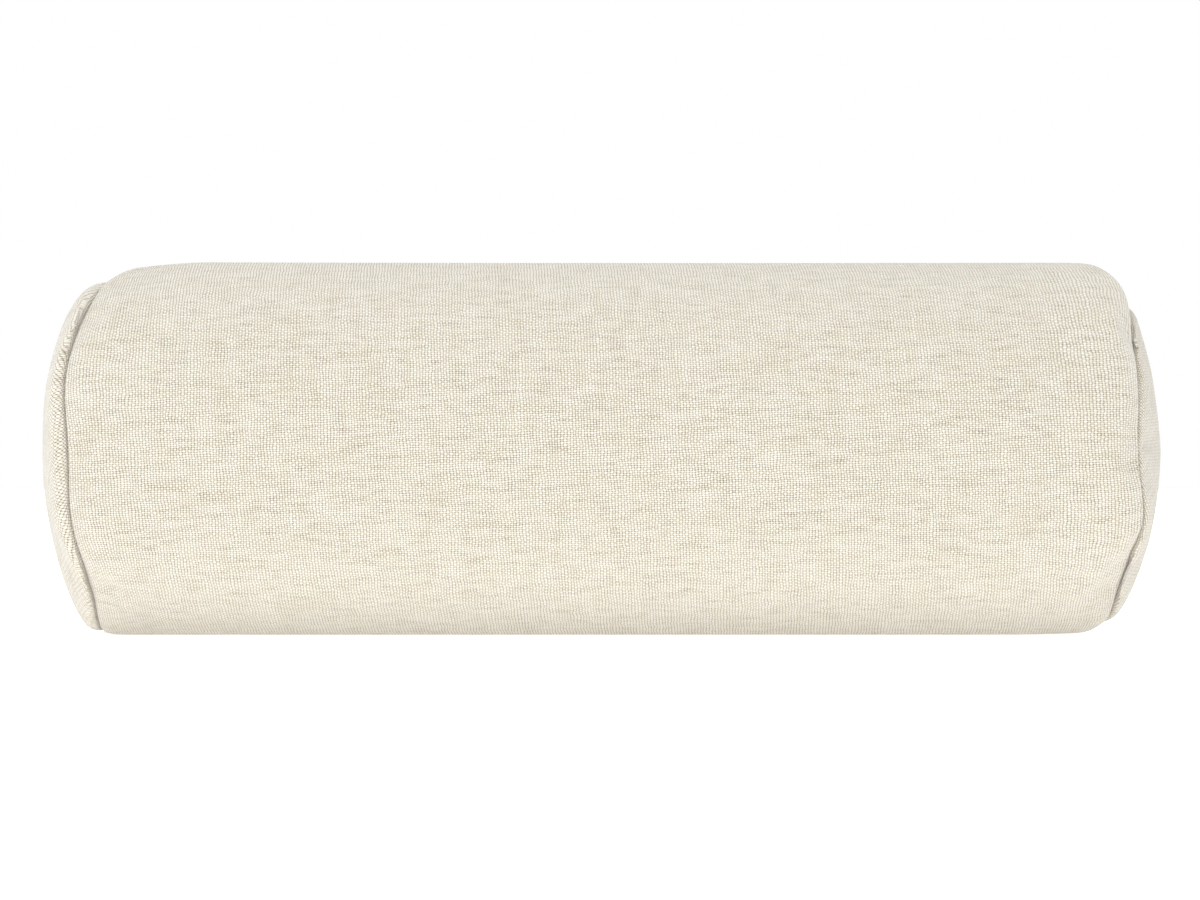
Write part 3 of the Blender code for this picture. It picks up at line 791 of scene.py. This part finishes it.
def wound_thread_nodes():
    """Geometry Nodes: a thread wound round a path as a flattened helix."""
    sockets = (
        ("Path", "Geometry"),
        ("Points", "Int"),
        ("Half width", "Float"),
        ("Half depth", "Float"),
        ("Lean", "Float"),
        ("Depth direction", "Vector"),
        ("Thread radius", "Float"),
        ("Sides", "Int"),
        ("Material", "Material"),
    )
    tree, given, add = new_tree("thread_round_a_path", sockets)

    def scaled(vector, *factors):
        factor = factors[0]
        for other in factors[1:]:
            factor = add("ShaderNodeMath", {0: factor, 1: other}, operation="MULTIPLY")
        return add("ShaderNodeVectorMath", {0: vector, "Scale": factor}, operation="SCALE")

    def added(one, other):
        return add("ShaderNodeVectorMath", {0: one, 1: other}, operation="ADD")

    line = add("GeometryNodeMeshToCurve", {"Mesh": given["Path"]})
    line = add("GeometryNodeResampleCurve", {"Curve": line, "Count": given["Points"]})
    index = add("GeometryNodeInputIndex")
    turn = math.tau / WIND_STEPS
    angle = add("ShaderNodeMath", {0: index, 1: turn}, operation="MULTIPLY")
    cosine = add("ShaderNodeMath", {0: angle}, operation="COSINE")
    sine = add("ShaderNodeMath", {0: angle}, operation="SINE")
    tangent = add("GeometryNodeInputTangent")
    depth = given["Depth direction"]
    across = add("ShaderNodeVectorMath", {0: tangent, 1: depth}, operation="CROSS_PRODUCT")
    offset = added(
        added(
            scaled(across, given["Half width"], cosine),
            scaled(depth, given["Half depth"], sine),
        ),
        scaled(tangent, given["Lean"], sine),
    )
    wound = add("GeometryNodeSetPosition", {"Geometry": line, "Offset": offset})
    circle = {"Resolution": given["Sides"], "Radius": given["Thread radius"]}
    section = add("GeometryNodeCurvePrimitiveCircle", circle)
    sweep = {"Curve": wound, "Profile Curve": section, "Fill Caps": True}
    return end_tree(tree, add, add("GeometryNodeCurveToMesh", sweep), given["Material"])


thread_round_a_path = wound_thread_nodes()


def made_by_nodes(name, tree, points, settings, closed=False):
    """The mesh that a Geometry Nodes tree makes on a line of points."""
    edges = [(n, n + 1) for n in range(len(points) - 1)]
    if closed:
        edges.append((len(points) - 1, 0))
    line = bpy.data.meshes.new(name)
    line.from_pydata([tuple(point) for point in points], edges, [])
    rough = bpy.data.objects.new(name, line)
    bpy.context.scene.collection.objects.link(rough)
    modifier = rough.modifiers.new("made_by_nodes", "NODES")
    modifier.node_group = tree
    sockets = {item.name: item for item in tree.interface.items_tree if item.in_out == "INPUT"}
    for key, setting in settings.items():
        modifier[sockets[key].identifier] = setting
    piece = apply_modifiers(rough)
    piece.data.shade_smooth()
    return piece


def wind(name, points, turns, halves, depth, radius, material, lean=0.0, sides=5, closed=False):
    """A thread wound round a path. Its halves are half the winding's width and depth."""
    settings = {
        "Points": turns * WIND_STEPS + (0 if closed else 1),
        "Half width": halves[0],
        "Half depth": halves[1],
        "Lean": lean,
        "Depth direction": depth,
        "Thread radius": radius,
        "Sides": sides,
        "Material": material,
    }
    return made_by_nodes(name, thread_round_a_path, points, settings, closed)


def join(name, pieces):
    """Several meshes as one plain object."""
    bm = bmesh.new()
    materials = []
    for piece in pieces:
        start = len(bm.faces)
        bm.from_mesh(piece.data)
        bm.faces.ensure_lookup_table()
        material = piece.data.materials[0]
        if material not in materials:
            materials.append(material)
        for face in bm.faces[start:]:
            face.material_index = materials.index(material)
        bpy.data.objects.remove(piece)
    mesh = bpy.data.meshes.new(name)
    bm.to_mesh(mesh)
    bm.free()
    for material in materials:
        mesh.materials.append(material)
    whole = bpy.data.objects.new(name, mesh)
    bpy.context.scene.collection.objects.link(whole)
    return whole


def zip_point(x, w, h):
    """A point on the zip: along it, across it and out from the cover's back."""
    return Vector((x, BACK_Y + h, AXIS_HEIGHT + w))


COIL_PITCH = 0.0013
COIL_MIDDLE_W = 0.0012  # from the zip's line to the middle of a row's coil
COIL_HALF_WIDTH, COIL_HALF_DEPTH, FILAMENT = 0.0015, 0.0006, 0.00028
PARTED_X, MESHED_X = -0.2225, -0.2155
PARTED_W = 0.0012  # how far each row stands off when it is parted
SEWN_W = (0.0017, 0.0024)  # the two lines of thread over each row
SEWING_HALVES, SEWING_THREAD = (0.00006, 0.00008), 0.00013

for side, side_name in ((1, "upper"), (-1, "lower")):
    low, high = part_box(f"zip_coil_{side_name}")
    middle_h = (low.y + high.y) / 2 - BACK_Y

    def along_row(w, h):
        """A line along the row, which stands off where the row is parted."""
        line = []
        for x in (low.x + 0.0004, PARTED_X, MESHED_X, *np.linspace(-0.2, high.x - 0.0004, 40)):
            apart = PARTED_W * min(1.0, max(0.0, (MESHED_X - x) / (MESHED_X - PARTED_X)))
            line.append(zip_point(x, side * (w + apart), h))
        return line

    turns = round((high.x - low.x) / COIL_PITCH)
    coil = wind(
        f"coil_{side_name}",
        along_row(COIL_MIDDLE_W, middle_h),
        turns,
        (COIL_HALF_WIDTH, COIL_HALF_DEPTH),
        (0, 1, 0),
        FILAMENT,
        nylon,
        lean=side * 0.0001,
    )
    sewing = [
        wind(
            f"coil_sewing_{side_name}_{n}",
            along_row(w, middle_h + COIL_HALF_DEPTH + 0.00025),
            turns // 2,
            SEWING_HALVES,
            (0, 1, 0),
            SEWING_THREAD,
            thread,
            sides=4,
        )
        for n, w in enumerate(SEWN_W)
    ]
    coil = join(f"nylon_coil_{side_name}", [coil, *sewing])
    coil.data.shade_smooth()
    finish_piece(coil, "bolster", f"zip_coil_{side_name}")

# Zip stops. Small pieces of plated wire and sheet are crimped on the coil: one on each row
# above the closed slider, and one across both rows at the far end.

nickel = moulded("satin_nickel", (0.50, 0.49, 0.47), 0.28, 1500, 0.00002, metallic=1.0)
LYING = Matrix(((1, 0, 0, 0), (0, 0, 1, BACK_Y), (0, 1, 0, AXIS_HEIGHT), (0, 0, 0, 1)))
STANDING = Matrix.Translation((0, BACK_Y, AXIS_HEIGHT))


def rounded(corners, radius, steps=5):
    """The corners of an outline, each turned into a small bend."""
    points = []
    for n, corner in enumerate(corners):
        here, before = Vector(corner), Vector(corners[n - 1])
        after = Vector(corners[(n + 1) % len(corners)])
        reach = [min(radius, (other - here).length * 0.45) for other in (before, after)]
        start = here + (before - here).normalized() * reach[0]
        end = here + (after - here).normalized() * reach[1]
        for step in range(steps + 1):
            t = step / steps
            points.append((1 - t) ** 2 * start + 2 * t * (1 - t) * here + t * t * end)
    return points


def add_plate(name, outlines, low, high, edge, stand=LYING):
    """A flat piece cut to its outlines, with rounded edges. The first is its outside."""
    plan = bpy.data.curves.new(name, "CURVE")
    plan.dimensions = "2D"
    plan.fill_mode = "BOTH"
    plan.extrude = (high - low) / 2 - edge
    plan.bevel_depth = edge
    plan.bevel_resolution = 2
    plan.offset = -edge
    for outline in outlines:
        spline = plan.splines.new("POLY")
        spline.points.add(len(outline) - 1)
        spline.use_cyclic_u = True
        for point, (a, b) in zip(spline.points, outline):
            point.co = (a, b, 0, 1)
    rough = bpy.data.objects.new(name, plan)
    bpy.context.scene.collection.objects.link(rough)
    piece = apply_modifiers(rough)
    bm = bmesh.new()
    bm.from_mesh(piece.data)
    bmesh.ops.remove_doubles(bm, verts=bm.verts, dist=0.000002)
    bmesh.ops.translate(bm, verts=bm.verts, vec=(0, 0, (low + high) / 2))
    bmesh.ops.transform(bm, verts=bm.verts, matrix=stand)
    bmesh.ops.recalc_face_normals(bm, faces=bm.faces)
    bm.to_mesh(piece.data)
    bm.free()
    return piece


def smooth_metal(piece, material):
    piece.data.materials.clear()
    piece.data.materials.append(material)
    piece.data.shade_smooth()
    piece.data.set_sharp_from_angle(angle=math.radians(50))


def boolean(target, helpers, operation):
    """Joins or cuts with other pieces, which it uses up. Hands back the plain result."""
    for helper in helpers:
        modifier = target.modifiers.new(helper.name, "BOOLEAN")
        modifier.operation = operation
        modifier.object = helper
    name = target.name
    result = apply_modifiers(target)
    result.name = name
    for helper in helpers:
        bpy.data.objects.remove(helper)
    return result


WAIST = 0.0006  # how far the bottom stop's two ends are nipped in, in their middles
for node in ("zip_top_stop_upper", "zip_top_stop_lower", "zip_bottom_stop"):
    low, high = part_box(node)
    waist = WAIST if node == "zip_bottom_stop" else 0.0
    middle_x, low_w, high_w = (low.x + high.x) / 2, low.z - AXIS_HEIGHT, high.z - AXIS_HEIGHT
    middle_w = (low_w + high_w) / 2
    outline = [
        (low.x, low_w),
        (high.x, low_w),
        (high.x - waist, middle_w),
        (high.x, high_w),
        (low.x, high_w),
        (low.x + waist, middle_w),
    ]
    stop = add_plate(
        f"crimped_{node[4:]}", [rounded(outline, 0.0007)], low.y - BACK_Y, high.y - BACK_Y, 0.0005
    )
    smooth_metal(stop, nickel)
    finish_piece(stop, "bolster", node)

# Zip slider. Cast and plated: two wings joined by a wedge at its mouth, flanges that press
# the rows together, and a crown on top, which the pull's bar turns in.

slider_low, slider_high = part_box("zip_slider")
MOUTH_X, TAIL_X = slider_low.x, slider_high.x
SLIDER_X = (MOUTH_X + TAIL_X) / 2
MOUTH_W, TAIL_W = slider_high.z - AXIS_HEIGHT, 0.0042
WING, BITE = 0.0013, 0.0004  # a wing's thickness, and how deep a joined part sits in it
FLANGE, FLANGE_INSET = 0.0008, 0.0005
MOUTH_CHANNEL_W, TAIL_CHANNEL_W = 0.00415, 0.0032  # from the zip's line to a flange's inside
TOP_WING_H, FLANGE_FOOT_H = 0.0001, -0.0019
BOTTOM_WING_H = slider_low.y - BACK_Y
wing = [(MOUTH_X, MOUTH_W), (PARTED_X, MOUTH_W), (MESHED_X, TAIL_W), (TAIL_X, TAIL_W)]
wing = rounded(wing + [(x, -w) for x, w in wing[::-1]], 0.0016)
slider = add_plate("cast_slider", [wing], TOP_WING_H, TOP_WING_H + WING, 0.0004)
joined = [add_plate("bottom_wing", [wing], BOTTOM_WING_H, BOTTOM_WING_H + WING, 0.0004)]
wedge = [(0.0006, 0.0004), (0.0016, 0.0008), (0.0027, 0.0008), (0.0070, 0.0002)]
wedge = [(MOUTH_X + x, w) for x, w in wedge]
wedge += [(x, -w) for x, w in wedge[::-1]]
wedge_span = (BOTTOM_WING_H + WING - BITE, TOP_WING_H + BITE)
joined.append(add_plate("wedge", [rounded(wedge, 0.0003)], *wedge_span, 0.0001))
for side in (1, -1):
    inner = [(MOUTH_X + FLANGE_INSET, MOUTH_CHANNEL_W), (PARTED_X, MOUTH_CHANNEL_W)]
    inner += [(MESHED_X, TAIL_CHANNEL_W), (TAIL_X - FLANGE_INSET, TAIL_CHANNEL_W)]
    strip = inner + [(x, w + FLANGE) for x, w in inner[::-1]]
    strip = [(x, side * w) for x, w in strip]
    span = (FLANGE_FOOT_H, TOP_WING_H + BITE)
    joined.append(add_plate(f"flange_{side}", [rounded(strip, 0.0004)], *span, 0.00015))
top, foot = slider_high.y - BACK_Y, TOP_WING_H + WING - BITE
outside = [(0.0041, foot), (0.0041, top - 0.0004), (0.0035, top)]
inside = [(0.0026, top - 0.0011), (0.0030, top - 0.0015), (0.0030, foot)]
arch = outside + [(-x, h) for x, h in outside[::-1]]
arch += [(-x, h) for x, h in inside[::-1]] + inside
arch = rounded([(SLIDER_X + x, h) for x, h in arch], 0.0006)
joined.append(add_plate("crown", [arch], -0.0009, 0.0009, 0.0003, STANDING))
slider = boolean(slider, joined, "UNION")
smooth_metal(slider, nickel)
finish_piece(slider, "slider", "zip_slider")

# Zip pull. A stamped tab. Its bar lies under the crown, which passes through its window,
# and the hole at its far end takes a cord. Its faces are dished for the thumb.

pull_low, pull_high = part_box("zip_pull")
PULL_W = (pull_high.z - pull_low.z) / 2
pull_start, pull_end = pull_low.x, pull_high.x
span = (pull_low.y - BACK_Y, pull_high.y - BACK_Y)
NECK = 0.8  # the tab's width at its neck, as a share of its full width
tab = [(pull_start, -PULL_W), (pull_start + 0.0075, -PULL_W)]
tab += [(pull_start + 0.0105, -PULL_W * NECK), (pull_end - 0.006, -PULL_W)]
tab += [(pull_end, -PULL_W)]
tab += [(x, -w) for x, w in tab[::-1]]
window = [(0.00065, -0.0013), (0.0052, -0.0013), (0.0052, 0.0013), (0.00065, 0.0013)]
window = rounded([(SLIDER_X + x, w) for x, w in window], 0.0005)
HOLE_X, HOLE = SLIDER_X + 0.0190, 0.0011  # the middle of the cord's hole, and its radius
hole = [(math.cos(a), math.sin(a)) for a in np.linspace(0, math.tau, 24, endpoint=False)]
hole = [(HOLE_X + HOLE * x, HOLE * w) for x, w in hole]
pull = add_plate("stamped_pull", [rounded(tab, 0.0024, 8), window, hole], *span, 0.00022)
dish = [(0.0078, -0.0013), (0.0163, -0.0013), (0.0163, 0.0013), (0.0078, 0.0013)]
dish = rounded([(SLIDER_X + x, w) for x, w in dish], 0.0010)
DISHED, CLEAR = 0.00018, 0.0004  # a dish's depth, and how far its cutter stands clear
dishes = [
    add_plate("dish_over", [dish], span[1] - DISHED, span[1] + CLEAR, 0.0001),
    add_plate("dish_under", [dish], span[0] - CLEAR, span[0] + DISHED, 0.0001),
]
pull = boolean(pull, dishes, "DIFFERENCE")
smooth_metal(pull, nickel)
finish_piece(pull, "pull", "zip_pull")

# Topstitching. A lockstitch in thick thread along each side of the slot holds the hem and
# the tape together. Each stitch lies on the cloth and dives into it at both ends.


def stitch_nodes():
    """Geometry Nodes: stitches of a thread laid end to end along a straight line in X."""
    sockets = (
        ("Path", "Geometry"),
        ("Stitches", "Int"),
        ("Stitch length", "Float"),
        ("Rise", "Vector"),
        ("Thread radius", "Float"),
        ("Material", "Material"),
    )
    tree, given, add = new_tree("stitches_in_a_line", sockets)

    line = add("GeometryNodeMeshToCurve", {"Mesh": given["Path"]})
    places = add("GeometryNodeCurveToPoints", {"Curve": line, "Count": given["Stitches"]})
    half = add("ShaderNodeMath", {0: given["Stitch length"], 1: 0.5}, operation="MULTIPLY")
    less = add("ShaderNodeMath", {0: half, 1: -1.0}, operation="MULTIPLY")
    start, end = (add("ShaderNodeCombineXYZ", {"X": x}) for x in (less, half))
    bend = {"Start": start, "Middle": given["Rise"], "End": end, "Resolution": 6}
    arc = add("GeometryNodeCurveQuadraticBezier", bend)
    circle = {"Resolution": 6, "Radius": given["Thread radius"]}
    section = add("GeometryNodeCurvePrimitiveCircle", circle)
    sweep = {"Curve": arc, "Profile Curve": section, "Fill Caps": True}
    stitch = add("GeometryNodeCurveToMesh", sweep)
    laid = add("GeometryNodeInstanceOnPoints", {"Points": places, "Instance": stitch})
    return end_tree(tree, add, laid, given["Material"])


stitches_in_a_line = stitch_nodes()
STITCH_PITCH, STITCH = 0.0034, 0.0030
for side_name in ("upper", "lower"):
    low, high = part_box(f"zip_topstitch_{side_name}")
    z = (low.z + high.z) / 2
    ends = (low.x + STITCH / 2, high.x - STITCH / 2)
    stitches = made_by_nodes(
        f"topstitches_{side_name}",
        stitches_in_a_line,
        [(x, BACK_Y + 0.0001, z) for x in ends],
        {
            "Stitches": round((ends[1] - ends[0]) / STITCH_PITCH) + 1,
            "Stitch length": STITCH,
            "Rise": (0.0, 0.0009, 0.0),
            "Thread radius": 0.0003,
            "Material": thread,
        },
    )
    finish_piece(stitches, "bolster", f"zip_topstitch_{side_name}")

# Bar tacks. Dense stitching across the zip's two ends, wound over and over the same place,
# stops the slot from tearing.

TACK_TURNS, TACK_THREAD = 30, 0.00022
for side_name in ("left", "right"):
    low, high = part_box(f"bar_tack_{side_name}")
    x, y = (low.x + high.x) / 2, (low.y + high.y) / 2
    tack = wind(
        f"bar_tack_thread_{side_name}",
        [(x, y, z) for z in np.linspace(low.z + 0.0003, high.z - 0.0003, 12)],
        TACK_TURNS,
        ((high.x - low.x) / 2 - 0.0002, (high.y - low.y) / 2 - 0.0001),
        (0, 1, 0),
        TACK_THREAD,
        thread,
    )
    finish_piece(tack, "bolster", f"bar_tack_{side_name}")

# Overlocked edges of the cover. Inside, thread is looped over the raw edges of the two
# cloths at each end seam, so that they don't fray.

LOOP_PITCH, LOOP_HALF_DEPTH, LOOP_THREAD = 0.0018, 0.0011, 0.00018


def add_overlock(bag, side, name, half_width, node):
    """Thread looped round the turned-in edges of a bag's seam."""
    one, other = turned_in(bag, side, False)[-1], turned_in(bag, side, True)[-1]
    edge = (one + other) / 2
    turns = round(math.tau * bag.seam_radius[side] / LOOP_PITCH)
    halves = (half_width, LOOP_HALF_DEPTH)
    loops = wind(name, edge, turns, halves, (1, 0, 0), LOOP_THREAD, thread, sides=4, closed=True)
    finish_piece(loops, "bolster", node)


for side, side_name in ((-1, "left"), (1, "right")):
    name = f"overlock_loops_{side_name}"
    add_overlock(cover, side, name, 0.0013, f"cover_overlock_{side_name}")

# Care label. A blank satin ribbon, sewn by its top edge to the inside of the barrel under
# the zip.

satin = plain_weave(
    "blank_satin",
    pitch=(0.0003, 0.0009),
    yarns=((0.93, 0.93, 0.91), (0.90, 0.90, 0.88), (0.95, 0.95, 0.93), (0.91, 0.91, 0.89)),
    # The colour between the yarns is painted shade.
    gap_painted_shade=(0.80, 0.80, 0.78),
    relief=0.00003,
    wander=0.1,
    sheen=0.2,
)
label_low, label_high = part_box("care_label")
LABEL_RADIUS, LABEL_WAVE = 0.1014, 0.0003
label_width = label_high.x - label_low.x
start_angle = math.asin((label_high.z - AXIS_HEIGHT) / LABEL_RADIUS)
end_angle = math.asin((label_low.z - AXIS_HEIGHT) / LABEL_RADIUS)
across_steps, down_steps = 18, 14
vertices, quads, weave = [], [], []
for n in range(down_steps + 1):
    angle = start_angle + (end_angle - start_angle) * n / down_steps
    for m in range(across_steps + 1):
        x = label_low.x + label_width * m / across_steps
        hang = n / down_steps
        radius = LABEL_RADIUS - LABEL_WAVE * hang * (1 + math.sin(260 * x + 3 * hang))
        vertices.append((x, radius * math.cos(angle), AXIS_HEIGHT + radius * math.sin(angle)))
for n in range(down_steps):
    for m in range(across_steps):
        here = n * (across_steps + 1) + m
        quad = [here, here + across_steps + 1, here + across_steps + 2, here + 1]
        quads.append(quad[::-1])
        weave.extend((vertices[i][0], vertices[i][2]) for i in quads[-1])
label = add_cloth_piece("satin_label", vertices, quads, weave, 0.0002, satin)
finish_piece(label, "bolster", "care_label")

# Insert casing. Thin white ticking, sewn as the cover is and a little smaller, holds the
# filling. It has no opening: its tube is closed along the back after filling.

ticking = plain_weave(
    "white_ticking",
    pitch=(0.0006, 0.0006),
    yarns=((0.93, 0.93, 0.92), (0.88, 0.88, 0.86), (0.94, 0.94, 0.92), (0.89, 0.89, 0.87)),
    # The colour between the yarns is painted shade.
    gap_painted_shade=(0.66, 0.66, 0.64),
    relief=0.0001,
    wander=0.4,
    sheen=0.2,
)
TICKING = 0.0005
INSERT_CUT_RADIUS = 0.100
insert_low, insert_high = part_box("insert_barrel")
insert_radius = -insert_low.y - 0.0008
insert_angles = np.linspace(0, math.tau, 96, endpoint=False)
insert_half = np.linspace(0.21, 0.2575, 14)
insert_middle = np.linspace(-0.21, 0.21, 34)[1:-1]
insert_stations = np.array([*-insert_half[::-1], *insert_middle, *insert_half])
gathers = ((2, 0.0006, 40), (5, 0.0004, 0), (17, 0.0003, 70))
insert = SewnBag(
    radius=insert_radius,
    shoulder_x=0.205,
    even_x=0.21,
    seam_x={-1: 0.2575, 1: 0.2575},
    seam_radius={-1: 0.0890, 1: 0.0860},
    seam_lift={-1: 0.0, 1: 0.0},
    seam_waves={-1: gathers, 1: gathers},
    dome_rise={-1: 0.0385, 1: 0.0385},
    roundness={-1: (0.5, 0.5), 1: (0.4, 0.4)},
    angles=insert_angles,
    stations=insert_stations,
)
insert.sew()
insert.keep(settle(insert.place, insert_low.z + 0.0006, insert_high.y - 0.0003))
rings, run, arc = tube_cloth(insert)
quads, weave = tube_quads(rings, run, arc, 0.0)
vertices = [point for ring in rings for point in ring]
casing = add_cloth_piece("ticking_barrel", vertices, quads, weave, TICKING, ticking)
finish_piece(casing, "bolster", "insert_barrel")
for side, side_name in ((-1, "left"), (1, "right")):
    name = f"ticking_end_{side_name}"
    end = add_round_end(insert, side, name, INSERT_CUT_RADIUS, 0.0, TICKING, ticking)
    finish_piece(end, "bolster", f"insert_end_{side_name}")
    name = f"ticking_overlock_{side_name}"
    add_overlock(insert, side, name, 0.0010, f"insert_overlock_{side_name}")

# Filling. Loose, springy polyester fibre, packed firmly, so that it takes the casing's
# shape with soft lumps.

fibre = bpy.data.materials.new("loose_fibre")
nodes = NodeBuilder(fibre)
nodes.shader.inputs["Roughness"].default_value = 0.95
nodes.shader.inputs["Sheen Weight"].default_value = 0.5
object_place = nodes.add("ShaderNodeTexCoord").outputs["Object"]
tufts, strands = nodes.clouds(object_place, 60, 3), nodes.clouds(object_place, 900, 5)
half_tufts, half_strands = (nodes.math("MULTIPLY", cloud, 0.5) for cloud in (tufts, strands))
mixed = nodes.math("ADD", half_tufts, half_strands)
# Painted light and shade: the fibre's colour is lighter on the raised tufts and darker in the
# hollows between them, following the bump.
painted_light_share = nodes.stretch(mixed, 0.38, 0.62)
fibre_painted_shading = nodes.blend(painted_light_share, (0.84, 0.84, 0.83), (0.95, 0.95, 0.95))
nodes.feed(nodes.shader.inputs["Base Color"], fibre_painted_shading)
nodes.bump(mixed, 0.0015, 0.8)

_, fill_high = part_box("fibre_filling")
fill_radius = insert_radius - TICKING - 0.0006
fill_shoulder_x = 0.190
fill_apex = fill_high.x - 0.0080
fill_around, fill_dome, fill_straight = 96, 14, 40
LUMPS, LUMP_HEIGHT = 38, 0.0007  # soft lumps in a metre, and half their height
profile = []
for n in range(1, fill_dome + 1):
    turn = math.radians(90 * n / fill_dome)
    reach = (fill_apex - fill_shoulder_x) * math.cos(turn)
    profile.append((-fill_shoulder_x - reach, fill_radius * math.sin(turn)))
straight = np.linspace(-fill_shoulder_x, fill_shoulder_x, fill_straight)[1:-1]
profile += [(x, fill_radius) for x in straight] + [(-x, r) for x, r in profile[::-1]]
place = []
for x, r in profile:
    for n in range(fill_around):
        turn = math.tau * n / fill_around
        lump = noise.noise(Vector((x, r * math.cos(turn), r * math.sin(turn))) * LUMPS)
        lumpy = r - LUMP_HEIGHT * (1 + lump) * min(1.0, r / 0.02)
        place.append((x, lumpy * math.cos(turn), AXIS_HEIGHT + lumpy * math.sin(turn)))
place = settle(np.array(place), insert_low.z + 0.0018, insert_high.y - 0.0014)
quads = []
for row in range(len(profile) - 1):
    for n in range(fill_around):
        here, following = row * fill_around + n, row * fill_around + (n + 1) % fill_around
        quads.append((here, following, following + fill_around, here + fill_around))
poles = [(-fill_apex, 0.0, AXIS_HEIGHT), (fill_apex, 0.0, AXIS_HEIGHT)]
pole, last_ring = len(place), (len(profile) - 1) * fill_around
for n in range(fill_around):
    following = (n + 1) % fill_around
    quads.append((pole, following, n))
    quads.append((pole + 1, last_ring + n, last_ring + following))
fill_mesh = bpy.data.meshes.new("fibre_mass")
fill_mesh.from_pydata([tuple(point) for point in [*place, *poles]], [], quads)
fill_mesh.materials.append(fibre)
fill_mesh.shade_smooth()
rough = bpy.data.objects.new("fibre_mass", fill_mesh)
bpy.context.scene.collection.objects.link(rough)
smoother = rough.modifiers.new("smoother", "SUBSURF")
smoother.levels = 1
smoother.render_levels = 1
filling = apply_modifiers(rough)
finish_piece(filling, "bolster", "fibre_filling")
